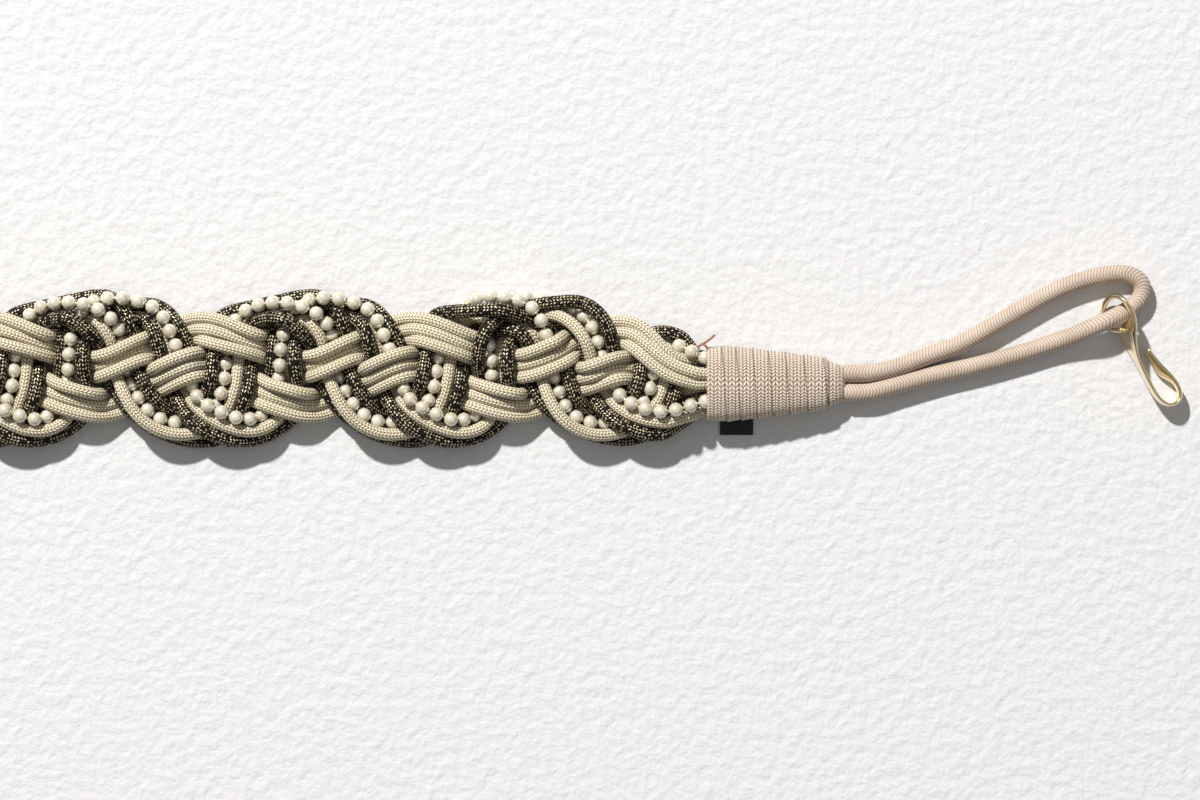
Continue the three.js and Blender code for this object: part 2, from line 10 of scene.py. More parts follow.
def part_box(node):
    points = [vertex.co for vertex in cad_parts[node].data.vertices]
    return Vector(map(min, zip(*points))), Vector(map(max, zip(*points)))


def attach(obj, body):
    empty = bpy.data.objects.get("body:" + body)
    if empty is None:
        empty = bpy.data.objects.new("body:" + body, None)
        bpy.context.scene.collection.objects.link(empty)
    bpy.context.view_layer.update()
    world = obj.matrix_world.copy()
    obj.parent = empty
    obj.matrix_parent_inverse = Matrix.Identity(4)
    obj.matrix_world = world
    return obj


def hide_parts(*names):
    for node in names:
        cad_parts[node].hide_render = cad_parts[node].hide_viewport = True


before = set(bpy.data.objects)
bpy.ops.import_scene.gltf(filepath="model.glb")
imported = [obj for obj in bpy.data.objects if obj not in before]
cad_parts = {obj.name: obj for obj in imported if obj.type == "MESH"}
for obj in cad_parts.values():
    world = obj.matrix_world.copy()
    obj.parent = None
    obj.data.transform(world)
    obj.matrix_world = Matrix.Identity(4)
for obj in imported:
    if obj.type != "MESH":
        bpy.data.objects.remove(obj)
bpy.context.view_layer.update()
MM = 0.001
CORDS = [name for name in sorted(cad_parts) if name.startswith(("upper", "lower", "mixed"))]

# Real diameters
BEIGE = 4.1 * MM
BLACK = 4.7 * MM
PEARL = 5.0 * MM
THREAD = 0.7 * MM
ELASTIC = 6.0 * MM

# Faces and steps of round pieces
CORD_SIDES = 16
THREAD_SIDES = 6
ELASTIC_SIDES = 32
ELASTIC_STEP = 0.25 * MM
BEAD_SEGMENTS = 10
BEAD_RINGS = 6

BEAD_PITCH = PEARL * 1.03
BEADS_INTO_WRAP = PEARL * 0.6

# Centre lines of the strands
STEP = 1.0 * MM
INTO_WRAP = 5.0 * MM
DRAWN_IN = 4.0 * MM  # before a wrap's mouth, where the strands draw in towards its middle
DRAWN_SHARE = 0.16
PRESSED = 0.94  # strands press into each other by the rest of their radii
SETTLE_ROUNDS = 140
SEARCH_ROUNDS = 20  # between one search for near pairs and the next
SEARCH_REACH = PEARL * 1.25
OWN_REACH = math.ceil(2.2 * PEARL / STEP)  # steps along one strand that don't count as touching
HELD_STEPS = 4  # at each end of a strand
PUSH = 1.4  # above 1, the rounds settle sooner
HOME_PULL = 0.012
SMOOTH_PULL = 0.35
CURVE_SAMPLES = 16  # between two points that a smooth line goes through

# Camera: straight above the part of the belt that the photo shows
VIEW_WIDTH = 0.4
VIEW_CENTRE = (0.1747, -0.0106)
VIEW_HEIGHT = 1.5
SENSOR = 36

# Elastic loops: out from the wrap's small end, across from its middle and up from the surface, in metres
RIGHT_LOOP = [
    (0.0003, 0.0034, 0.0043), (0.0085, 0.0035, 0.0042), (0.016, 0.0049, 0.0038), (0.0284, 0.0093, 0.0033),
    (0.0392, 0.0133, 0.0031), (0.0575, 0.0236, 0.0031), (0.0702, 0.0306, 0.0031), (0.0797, 0.0343, 0.0031),
    (0.0893, 0.0364, 0.0031), (0.095, 0.0362, 0.0031), (0.0987, 0.034, 0.0031), (0.0996, 0.0311, 0.0031),
    (0.0986, 0.0281, 0.0031), (0.0963, 0.0258, 0.0031), (0.0935, 0.0238, 0.0035), (0.0903, 0.0221, 0.0055),
    (0.0875, 0.0208, 0.0068), (0.0835, 0.019, 0.0067), (0.0775, 0.0164, 0.0048), (0.0702, 0.0137, 0.0034),
    (0.0574, 0.0096, 0.0031), (0.0447, 0.0061, 0.0031), (0.0319, 0.0032, 0.0033), (0.016, -0.0009, 0.0038),
    (0.0085, -0.0028, 0.0042), (0.0003, -0.003, 0.0043),
]
LEFT_LOOP = [
    (0.0003, 0.0033, 0.0043), (0.009, 0.0038, 0.0042), (0.031, 0.0076, 0.0032), (0.06, 0.012, 0.0031),
    (0.074, 0.0127, 0.0031), (0.0869, 0.0126, 0.0031), (0.0918, 0.0116, 0.0031), (0.0959, 0.0089, 0.0031),
    (0.0986, 0.0049, 0.0031), (0.0996, 0.0, 0.0031), (0.0986, -0.0049, 0.0031), (0.0959, -0.0089, 0.0031),
    (0.0918, -0.0116, 0.0031), (0.0869, -0.0126, 0.0031), (0.074, -0.0127, 0.0031), (0.06, -0.012, 0.0031),
    (0.031, -0.0076, 0.0032), (0.009, -0.0038, 0.0042), (0.0003, -0.0033, 0.0043),
]


def wrap_end(name):
    """The way in X from a wrap's mouth to its small end, and that end's middle on the surface."""
    low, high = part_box(name)
    side = 1 if name.startswith("right") else -1
    return side, Vector((high.x if side > 0 else low.x, (low.y + high.y) / 2, 0))


def loop_route(wrap, points):
    """A loop's points in the frame. The left end is the right one turned half round."""
    side, end = wrap_end(wrap)
    return [end + Vector((side * out, side * across, up)) for out, across, up in points]


# Lines

def through(points, step):
    """A smooth line through points, in steps of about that length, as an array."""
    p = np.array(points, float)
    p = np.vstack([2 * p[0] - p[1], p, 2 * p[-1] - p[-2]])
    chord = np.maximum(np.linalg.norm(np.diff(p, axis=0), axis=1), 1e-9) ** 0.5
    t = np.concatenate([[0], np.cumsum(chord)])
    parts = []
    for i in range(1, len(p) - 2):
        x = np.linspace(t[i], t[i + 1], CURVE_SAMPLES, endpoint=False)[:, None]
        t0, t1, t2, t3 = t[i - 1], t[i], t[i + 1], t[i + 2]
        a1 = (t1 - x) / (t1 - t0) * p[i - 1] + (x - t0) / (t1 - t0) * p[i]
        a2 = (t2 - x) / (t2 - t1) * p[i] + (x - t1) / (t2 - t1) * p[i + 1]
        a3 = (t3 - x) / (t3 - t2) * p[i + 1] + (x - t2) / (t3 - t2) * p[i + 2]
        b1 = (t2 - x) / (t2 - t0) * a1 + (x - t0) / (t2 - t0) * a2
        b2 = (t3 - x) / (t3 - t1) * a2 + (x - t1) / (t3 - t1) * a3
        parts.append((t2 - x) / (t2 - t1) * b1 + (x - t1) / (t2 - t1) * b2)
    parts.append(p[-2:-1])
    return evenly(np.vstack(parts), step)


def evenly(line, step):
    """The same line in equal steps of about that length."""
    length = np.concatenate([[0], np.cumsum(np.linalg.norm(np.diff(line, axis=0), axis=1))])
    count = max(2, round(length[-1] / step))
    places = np.linspace(0, length[-1], count + 1)
    return np.column_stack([np.interp(places, length, line[:, k]) for k in range(3)])


def length_of(line):
    return np.linalg.norm(np.diff(line, axis=0), axis=1).sum()


def frames(line):
    """Tangents, and two directions square to them that turn as little as they can, along a line."""
    tangents = np.gradient(line, axis=0)
    tangents /= np.linalg.norm(tangents, axis=1)[:, None]
    up = np.array([0.0, 0.0, 1.0])
    rights = np.empty_like(line)
    for i, tangent in enumerate(tangents):
        up = up - tangent * (up @ tangent)
        up /= np.linalg.norm(up)
        rights[i] = up
    return tangents, rights, np.cross(tangents, rights)


def node_line(name):
    """The stations of a CAD strand: the middles of its rings, from its left end to its right end."""
    bm = bmesh.new()
    bm.from_mesh(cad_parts[name].data)
    bmesh.ops.remove_doubles(bm, verts=bm.verts, dist=1e-7)
    left = min(v.co.x for v in bm.verts)
    ring = {v for v in bm.verts if v.co.x < left + 1e-5}
    seen = set(ring)
    stations = []
    while ring:
        stations.append(np.mean([v.co[:] for v in ring], axis=0))
        ring = {e.other_vert(v) for v in ring for e in v.link_edges} - seen
        seen |= ring
    bm.free()
    return stations


def radius_of(name):
    if "black" in name:
        return BLACK / 2
    return (PEARL if "pearls" in name else BEIGE) / 2


def near_pairs(points, owner, index):
    """Pairs of points near enough to touch, other than neighbours along one strand."""
    tree = kdtree.KDTree(len(points))
    for i, p in enumerate(points):
        tree.insert(p, i)
    tree.balance()
    first, second = [], []
    for i, p in enumerate(points):
        for _, j, _ in tree.find_range(p, SEARCH_REACH):
            if j > i and (owner[i] != owner[j] or abs(index[i] - index[j]) > OWN_REACH):
                first.append(i)
                second.append(j)
    return np.array(first), np.array(second)


def settle(lines, radii):
    """Presses the strands apart at their real diameters and draws each one smooth."""
    sizes = [len(line) for line in lines]
    starts = np.concatenate([[0], np.cumsum(sizes)])
    points = np.vstack(lines)
    home = points.copy()
    owner = np.repeat(np.arange(len(lines)), sizes)
    index = np.concatenate([np.arange(n) for n in sizes])
    radius = np.repeat(radii, sizes)
    free = (index >= HELD_STEPS) & (index < np.repeat(sizes, sizes) - HELD_STEPS)
    for turn in range(SETTLE_ROUNDS):
        if turn % SEARCH_ROUNDS == 0:
            first, second = near_pairs(points, owner, index)
        between = points[first] - points[second]
        distance = np.maximum(np.linalg.norm(between, axis=1), 1e-9)
        short = np.maximum(PRESSED * (radius[first] + radius[second]) - distance, 0)
        touching = short > 0
        push = between[touching] * (short[touching] / distance[touching] * 0.5)[:, None]
        shift = np.zeros_like(points)
        count = np.zeros(len(points))
        np.add.at(shift, first[touching], push)
        np.add.at(shift, second[touching], -push)
        np.add.at(count, first[touching], 1)
        np.add.at(count, second[touching], 1)
        points[free] += (shift / np.maximum(count, 1)[:, None] * PUSH)[free]
        points[free] += HOME_PULL * (home - points)[free]
        for a, b in zip(starts[:-1], starts[1:]):
            line = points[a:b]
            middle = (line[:-2] + line[2:]) / 2
            line[1:-1] += SMOOTH_PULL * (middle - line[1:-1]) * free[a + 1:b - 1, None]
        points[:, 2] = np.maximum(points[:, 2], radius)
    return [points[a:b] for a, b in zip(starts[:-1], starts[1:])]


# Meshes

def new_bmesh():
    bm = bmesh.new()
    bm.loops.layers.uv.new("UVMap")
    return bm


def new_piece(name, bm, slot, replaced=(), material=None):
    """A finished piece that rides with the belt. Its material is its slot's, unless another is named."""
    piece = bpy.data.objects.new(name, to_mesh(bm, name))
    piece.data.materials.append(MATERIALS[material or slot])
    bpy.context.scene.collection.objects.link(piece)
    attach(piece, "root")
    if replaced:
        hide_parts(*replaced)
    return piece


def flat_sheet(rings, sides):
    """A square sheet to roll up, and its points' shares of the way along and across it."""
    sheet = new_bmesh()
    bmesh.ops.create_grid(sheet, x_segments=rings, y_segments=sides, size=0.5, calc_uvs=True)
    mesh = bpy.data.meshes.new("sheet")
    sheet.to_mesh(mesh)
    sheet.free()
    flat = np.empty(len(mesh.vertices) * 3, np.float32)
    mesh.vertices.foreach_get("co", flat)
    flat = flat.reshape(-1, 3).astype(float) + 0.5
    return mesh, flat[:, 0], flat[:, 1]


def move_points(mesh, places):
    mesh.vertices.foreach_set("co", places.astype(np.float32).ravel())


def change_uv(mesh, change):
    """Changes a sheet's UV map, through a function of its columns along and across."""
    uv = np.empty(len(mesh.loops) * 2, np.float32)
    mesh.uv_layers[0].data.foreach_get("uv", uv)
    uv[0::2], uv[1::2] = change(uv[0::2], uv[1::2])
    mesh.uv_layers[0].data.foreach_set("uv", uv)


def tube(bm, line, radius, sides, shape=None):
    """A tube round a line: a sheet, rolled up. Its UV map counts millimetres along it and turns round it.
    shape gives the radius as a share, from arrays of millimetres along and of turns round."""
    length = length_of(line) / MM
    rings = len(line) - 1
    mesh, share, turn = flat_sheet(rings, sides)
    ring = np.rint(share * rings).astype(int)
    turn = np.rint(turn * sides) / sides
    _, rights, ups = frames(line)
    reach = radius * (np.ones(len(ring)) if shape is None else shape(share * length, turn))
    angle = -2 * math.pi * turn
    outward = rights[ring] * np.cos(angle)[:, None] + ups[ring] * np.sin(angle)[:, None]
    move_points(mesh, line[ring] + outward * reach[:, None])
    change_uv(mesh, lambda along, across: (along * length, across))
    start = len(bm.verts)
    bm.from_mesh(mesh)
    bpy.data.meshes.remove(mesh)
    bm.verts.ensure_lookup_table()
    made = bm.verts[start:]
    bmesh.ops.remove_doubles(bm, verts=made, dist=radius * 1e-3)


def close_ends(bm):
    """Caps every open end."""
    rims = [e for e in bm.edges if e.is_boundary]
    bmesh.ops.holes_fill(bm, edges=rims, sides=0)


def to_mesh(bm, name):
    """A smooth mesh, with the bmesh freed."""
    bmesh.ops.recalc_face_normals(bm, faces=bm.faces)
    for face in bm.faces:
        face.smooth = True
    mesh = bpy.data.meshes.new(name)
    bm.to_mesh(mesh)
    bm.free()
    return mesh


def into_wraps(line):
    """The strand's line with both its ends drawn in a little and run on into the wraps."""
    first = line[0] - np.array([INTO_WRAP, 0, 0])
    last = line[-1] + np.array([INTO_WRAP, 0, 0])
    line = evenly(np.vstack([first, line, last]), STEP)
    for name in ("left_wrap", "right_wrap"):
        low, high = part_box(name)
        mouth = min(abs(low.x), abs(high.x))
        near = (np.sign(line[:, 0]) == np.sign(low.x + high.x)) * (np.abs(line[:, 0]) - mouth + DRAWN_IN)
        keep = 1 - DRAWN_SHARE * np.clip(near / DRAWN_IN, 0, 1)
        line[:, 1] = (low.y + high.y) / 2 + (line[:, 1] - (low.y + high.y) / 2) * keep
        line[:, 2] = high.z / 2 + (line[:, 2] - high.z / 2) * keep
    return line


def make_cord(name, line):
    slot = "black_gold_cord" if "black" in name else "beige_cord"
    bm = new_bmesh()
    tube(bm, line, radius_of(name), CORD_SIDES)
    close_ends(bm)
    new_piece(f"{name}_cord", bm, slot, [name])


def make_pearl_string(name, line):
    """Beads side by side on a thread. Only the thread goes on into the wraps."""
    length = length_of(line)
    beads = evenly(line, length / round(length / BEAD_PITCH))
    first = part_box("left_wrap")[1].x - BEADS_INTO_WRAP
    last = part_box("right_wrap")[0].x + BEADS_INTO_WRAP
    bm = new_bmesh()
    for place in beads:
        if first < place[0] < last:
            made = bmesh.ops.create_uvsphere(
                bm, u_segments=BEAD_SEGMENTS, v_segments=BEAD_RINGS, radius=PEARL / 2)
            bmesh.ops.translate(bm, verts=made["verts"], vec=Vector(place))
    tube(bm, line, THREAD / 2, THREAD_SIDES)
    close_ends(bm)
    new_piece(f"{name}_beads", bm, "pearl_string", [name])


# Ribs of the elastic, slanted so that they meet in chevrons, two round the cord
RIB_PITCH = 1.05  # millimetres
RIB_DEPTH = 0.1  # as a share of the radius
RIB_SLANT = 1.5  # in ribs, over a quarter of a turn


def ribbed(along, turn):
    """The elastic's radius as a share, from millimetres along and turns round."""
    zigzag = 2 * np.abs((turn * 2) % 1 - 0.5)
    phase = along / RIB_PITCH + zigzag * RIB_SLANT
    return 1 - RIB_DEPTH * (1 - np.abs(np.sin(math.pi * phase)) ** 0.5)


def make_loop(name, wrap, points, with_pieces=()):
    route = loop_route(wrap, points)
    line = through(route, ELASTIC_STEP)
    bm = new_bmesh()
    tube(bm, line, ELASTIC / 2, ELASTIC_SIDES, ribbed)
    close_ends(bm)
    loop = new_piece(f"{name}_elastic", bm, "elastic_cord", [name])


# Tape wraps: shares of the CAD wrap's length, half width and height, from its mouth
WRAP_SECTIONS = [
    (0.0, 0.95, 0.98), (0.13, 1.0, 1.0), (0.37, 0.915, 0.94), (0.6, 0.81, 0.86), (0.875, 0.68, 0.74),
    (0.89, 0.585, 0.66), (0.955, 0.545, 0.61), (1.0, 0.47, 0.53),
]
TAPE_TURNS = [0.0, 0.129, 0.232, 0.352, 0.469, 0.59, 0.725, 0.872, 1.0]
TAPE_STEP = 0.3 * MM
TAPE_SIDES = 72
TAPE_SQUARENESS = 0.8  # of a section: 1 is an ellipse, less is squarer
TAPE_SLANT = 0.02  # of the turns' edges, as a share of the wrap's length
TAPE_FLAT_END = 0.02  # where the edges don't slant, at each end
TAPE_EDGE = 0.4 * MM  # over which a turn rises at its edges
TAPE_RISE = 0.2 * MM
TAPE_OVERLAP = 0.45 * MM  # by which each turn's first edge lies over the turn before
TAPE_INSET = 0.25 * MM
TAPE_COLUMN = 1.2  # millimetres along the wrap
TAPE_STITCH = 1.05  # millimetres round it
TAPE_STITCH_SLANT = 0.8  # in stitches
EDGE_SHADE_WIDTH = 0.006  # half the width of the painted shade line along each turn's edge, as a share of the wrap's length

# Rings that go on from a wrap's open ends: share of the ring before, and millimetres on towards the loop
MOUTH_RINGS = [(0.9, 0.0), (0.86, 8.0)]
END_RINGS = [(0.8, 0.7), (0.45, 0.9)]


def wrap_radii(shares):
    """Half width and height of a wrap at shares of its length, eased between its sections."""
    along, width, height = np.array(WRAP_SECTIONS).T
    return np.interp(shares, along, width), np.interp(shares, along, height)


def tape_swell(share, angle, length):
    """Each point's place along the tape's turns, and how far the tape swells there."""
    edges = np.array(TAPE_TURNS)
    slanted = (share > TAPE_FLAT_END) * (share < 1 - TAPE_FLAT_END)
    place = np.clip(share + TAPE_SLANT * np.cos(angle) * slanted, 0, 1)
    band = np.clip(np.searchsorted(edges, place, side="right") - 1, 0, len(edges) - 2)
    width = edges[band + 1] - edges[band]
    inside = (place - edges[band]) / width
    edge = np.minimum(inside, 1 - inside) * width * length
    swell = TAPE_RISE * np.minimum(edge / TAPE_EDGE, 1) + TAPE_OVERLAP * (0.5 - inside) - TAPE_INSET
    return place, swell


def round_a_wrap(turn, half, height):
    """Millimetres round a wrap's largest section, from its top, at shares of a turn."""
    turns = np.linspace(0, 1, 361)
    corner = np.column_stack([np.sin(2 * math.pi * turns) * half, np.cos(2 * math.pi * turns) * height / 2])
    way = np.concatenate([[0], np.cumsum(np.linalg.norm(np.diff(corner, axis=0), axis=1))]) / MM
    return np.interp(turn, turns, way) - way[-1] / 2


def extend_rim(bm, at_x, middle_y, side, rings):
    """Goes on from a wrap's open end with smaller rings."""
    rim = [e for e in bm.edges if e.is_boundary and all(abs(v.co.x - at_x) < 1e-5 for v in e.verts)]
    middle_z = sum(v.co.z for e in rim for v in e.verts) / (2 * len(rim))
    for shrink, go in rings:
        made = bmesh.ops.extrude_edge_only(bm, edges=rim)
        rim = [g for g in made["geom"] if isinstance(g, bmesh.types.BMEdge)]
        for v in [g for g in made["geom"] if isinstance(g, bmesh.types.BMVert)]:
            v.co.x = at_x + side * go * MM
            v.co.y = middle_y + (v.co.y - middle_y) * shrink
            v.co.z = middle_z + (v.co.z - middle_z) * shrink


def make_wrap(name):
    low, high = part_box(name)
    side, end = wrap_end(name)
    length = high.x - low.x
    half = (high.y - low.y) / 2
    height = high.z
    mesh, share, turn = flat_sheet(round(length / TAPE_STEP), TAPE_SIDES)
    wide, tall = wrap_radii(share)
    # A squashed round section that stands on its underside, where the sheet's edges meet
    angle = 2 * math.pi * turn - math.pi / 2
    across = np.sign(np.cos(angle)) * np.abs(np.cos(angle)) ** TAPE_SQUARENESS
    upward = np.sign(np.sin(angle)) * np.abs(np.sin(angle)) ** TAPE_SQUARENESS
    place, swell = tape_swell(share, angle, length)
    x = end.x - side * (1 - share) * length
    y = end.y + across * (wide * half + swell)
    z = tall * height / 2 + upward * (tall * height / 2 + swell)
    move_points(mesh, np.column_stack([x, y, np.maximum(z, 0)]))
    mesh.attributes.new("place", "FLOAT", "POINT").data.foreach_set("value", place.astype(np.float32))
    change_uv(mesh, lambda along, around: (
        along * length / MM, round_a_wrap(around, half, height) * wrap_radii(along)[0]))
    bm = bmesh.new()
    bm.from_mesh(mesh)
    bpy.data.meshes.remove(mesh)
    bmesh.ops.remove_doubles(bm, verts=bm.verts, dist=1e-6)
    extend_rim(bm, end.x - side * length, end.y, side, MOUTH_RINGS)
    extend_rim(bm, end.x, end.y, side, END_RINGS)
    close_ends(bm)
    new_piece(f"{name}_tape", bm, "wrap_tape", [name])


HOOK_SWELL = 0.25 * MM
HOOK_ROUNDINGS = 3
ANY_ANGLE = 3.1  # nearly half a turn, so that every pair of triangles is joined


def make_hook():
    """The CAD strip with its facets rounded. It is returned."""
    bm = bmesh.new()
    bm.from_mesh(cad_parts["s_hook"].data)
    bmesh.ops.remove_doubles(bm, verts=bm.verts, dist=1e-7)
    bmesh.ops.join_triangles(
        bm, faces=bm.faces, angle_face_threshold=ANY_ANGLE, angle_shape_threshold=ANY_ANGLE)
    # The rounding draws the strip in by about this much
    bm.normal_update()
    for v in bm.verts:
        v.co += v.normal * HOOK_SWELL
    hook = new_piece("gold_s_hook", bm, "gold_hook", ["s_hook"])
    rounding = hook.modifiers.new("rounding", "SUBSURF")
    rounding.levels = HOOK_ROUNDINGS
    rounding.render_levels = HOOK_ROUNDINGS
    return hook


# The frayed thread's end: from the right wrap's mouth and middle line, in metres
LOOSE_THREAD = [
    [
        (-0.0030, 0.0122, 0.0100), (-0.0007, 0.0135, 0.0110), (0.0013, 0.0149, 0.0116),
        (0.0027, 0.0162, 0.0118),
    ],
    [(-0.0010, 0.0130, 0.0108), (0.0002, 0.0118, 0.0106), (0.0004, 0.0104, 0.0098)],
]
LOOSE_THREAD_RADIUS = 0.42 * MM
LOOSE_THREAD_STEP = 0.4 * MM
LOOSE_THREAD_SIDES = 8


def make_loose_thread():
    low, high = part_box("right_wrap")
    middle = Vector((low.x, (low.y + high.y) / 2, 0))
    bm = new_bmesh()
    for points in LOOSE_THREAD:
        line = through([middle + Vector(p) for p in points], LOOSE_THREAD_STEP)
        tube(bm, line, LOOSE_THREAD_RADIUS, LOOSE_THREAD_SIDES)
    close_ends(bm)
    new_piece("loose_thread", bm, "wrap_tape", material="copper_thread")


LABEL_GRID = (22, 16)
LABEL_MIDDLE = 0.55 * MM
LABEL_WAVE = 0.12 * MM
LABEL_WALL = 0.5 * MM


def make_label():
    low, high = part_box("label_tab")
    bm = new_bmesh()
    bmesh.ops.create_grid(bm, x_segments=LABEL_GRID[0], y_segments=LABEL_GRID[1], size=0.5, calc_uvs=True)
    for v in bm.verts:
        v.co = Vector((
            low.x + (v.co.x + 0.5) * (high.x - low.x),
            low.y + (v.co.y + 0.5) * (high.y - low.y),
            LABEL_MIDDLE + LABEL_WAVE * math.sin(3 * v.co.x + 5 * v.co.y),
        ))
    label = new_piece("bare_label", bm, "label_cloth", ["label_tab"])
    wall = label.modifiers.new("wall", "SOLIDIFY")
    wall.thickness = LABEL_WALL
    wall.offset = 0


# Materials

class Shader:
    """A material's node tree, written from its surface back."""

    def __init__(self, name, colour, roughness, metallic=0.0):
        self.material = bpy.data.materials.new(name)
        self.material.use_nodes = True
        self.tree = self.material.node_tree
        self.surface = self.tree.nodes["Principled BSDF"]
        self.set("Base Color", (*colour, 1))
        self.set("Roughness", roughness)
        self.set("Metallic", metallic)

    def set(self, socket, value):
        if isinstance(value, bpy.types.NodeSocket):
            self.tree.links.new(value, self.surface.inputs[socket])
        else:
            self.surface.inputs[socket].default_value = value

    def node(self, kind, *inputs, **settings):
        node = self.tree.nodes.new(kind)
        for key, value in settings.items():
            setattr(node, key, value)
        for i, value in enumerate(inputs):
            if isinstance(value, bpy.types.NodeSocket):
                self.tree.links.new(value, node.inputs[i])
            else:
                node.inputs[i].default_value = value
        return node

    def math(self, operation, *inputs):
        return self.node("ShaderNodeMath", *inputs, operation=operation).outputs[0]

    def humps(self, value):
        """Up from 0 to 1 and back over each whole step of a value."""
        return self.math("SINE", self.math("MULTIPLY", self.math("FRACT", value), math.pi))

    def uv(self):
        """Millimetres along a piece and turns, or millimetres, round it."""
        split = self.node("ShaderNodeSeparateXYZ", self.node("ShaderNodeUVMap", uv_map="UVMap").outputs[0])
        return split.outputs[0], split.outputs[1]

    def noise(self, scale, detail=2.0):
        """Cloudy noise, of about that many spots to a metre."""
        node = self.node("ShaderNodeTexNoise", self.node("ShaderNodeTexCoord").outputs["Object"])
        node.inputs["Scale"].default_value = scale
        node.inputs["Detail"].default_value = detail
        return node.outputs[0]

    def ramp(self, factor, *stops):
        node = self.node("ShaderNodeValToRGB", factor)
        points = node.color_ramp.elements
        while len(points) < len(stops):
            points.new(0.5)
        for point, (place, colour) in zip(points, stops):
            point.position = place
            point.color = (*colour, 1)
        return node.outputs[0]

    def mix(self, factor, a, b):
        node = self.node("ShaderNodeMix", data_type="RGBA")
        for socket, value in ((node.inputs[0], factor), (node.inputs[6], a), (node.inputs[7], b)):
            if isinstance(value, bpy.types.NodeSocket):
                self.tree.links.new(value, socket)
            else:
                socket.default_value = value if isinstance(value, float) else (*value, 1)
        return node.outputs[2]

    def bump(self, height, distance, strength=1.0):
        node = self.node("ShaderNodeBump")
        node.inputs["Strength"].default_value = strength
        node.inputs["Distance"].default_value = distance
        self.tree.links.new(height, node.inputs["Height"])
        self.set("Normal", node.outputs[0])


# Stitches of the braided sheaths: columns round the cord, millimetres along, and slant in stitches
BEIGE_STITCHES = (12, 1.15, 0.7)
BLACK_STITCHES = (14, 1.1, 0.75)
BLACK_SHARE = 0.2  # of the black cord's stitches have no gold
GOLD_LEVEL = 0.85  # above which a stitch's gold shows


def braided_stitches(shader, columns, pitch, slant):
    """Height of a sheath with columns of slanted stitches, and a random number for each stitch."""
    along, turn = shader.uv()
    column = shader.math("MULTIPLY", turn, float(columns))
    across = shader.math("PINGPONG", column, 1.0)
    phase = shader.math("MULTIPLY_ADD", along, 1 / pitch, shader.math("MULTIPLY", across, slant))
    stitch = shader.math("POWER", shader.humps(phase), 0.6)
    ridge = shader.math("POWER", shader.humps(column), 0.45)
    height = shader.math("MULTIPLY", stitch, ridge)
    cell = shader.node("ShaderNodeCombineXYZ", shader.math("FLOOR", phase), shader.math("FLOOR", column), 0.0)
    chance = shader.node("ShaderNodeTexWhiteNoise", cell.outputs[0], noise_dimensions="3D").outputs[0]
    return height, chance


def beige_cord():
    shader = Shader("beige_cord", (0.62, 0.54, 0.37), 0.45)
    height, chance = braided_stitches(shader, *BEIGE_STITCHES)
    cloudy = shader.noise(60.0)
    light = shader.ramp(cloudy, (0.3, (0.86, 0.785, 0.55)), (0.75, (0.95, 0.885, 0.67)))
    yarn = shader.mix(shader.math("MULTIPLY", chance, 0.6), light, (1.0, 0.97, 0.84))
    # Darker brown down between the stitches, by their height: painted shade in the grooves
    shader.set("Base Color", shader.mix(shader.math("POWER", height, 1.45), (0.24, 0.16, 0.06), yarn))
    shader.set("Sheen Weight", 0.15)
    shader.set("Sheen Roughness", 0.35)
    shader.bump(height, 0.4 * MM, 0.9)
    return shader.material


def black_gold_cord():
    shader = Shader("black_gold_cord", (0.02, 0.018, 0.014), 0.4)
    height, chance = braided_stitches(shader, *BLACK_STITCHES)
    bright = shader.math("GREATER_THAN", chance, BLACK_SHARE)
    rough = shader.math("MULTIPLY_ADD", shader.noise(2600.0, 1.0), 0.8, -0.4)
    high = shader.math("GREATER_THAN", shader.math("ADD", height, rough), GOLD_LEVEL)
    fleck = shader.math("MULTIPLY", bright, high)
    tone = shader.mix(chance, (0.27, 0.19, 0.085), (0.92, 0.81, 0.56))
    # The black yarn, darker down between the stitches by their height: painted shade in the grooves
    dark = shader.mix(height, (0.002, 0.0015, 0.001), (0.014, 0.011, 0.008))
    shader.set("Base Color", shader.mix(fleck, dark, tone))
    shader.set("Metallic", shader.math("MULTIPLY", fleck, 0.2))
    shader.set("Specular IOR Level", 0.12)
    shader.bump(height, 0.3 * MM, 0.6)
    return shader.material


def pearl_string():
    shader = Shader("pearl_string", (0.70, 0.64, 0.50), 0.25, 0.1)
    cloudy = shader.noise(140.0, 1.0)
    shader.set("Base Color", shader.ramp(cloudy, (0.3, (0.62, 0.555, 0.415)), (0.7, (0.75, 0.69, 0.555))))
    shader.set("Specular IOR Level", 1.0)
    shader.set("Coat Weight", 1.0)
    shader.set("Coat Roughness", 0.2)
    shader.set("Coat IOR", 2.4)
    shader.set("Subsurface Weight", 0.05)
    shader.set("Subsurface Radius", (0.002, 0.0015, 0.001))
    return shader.material


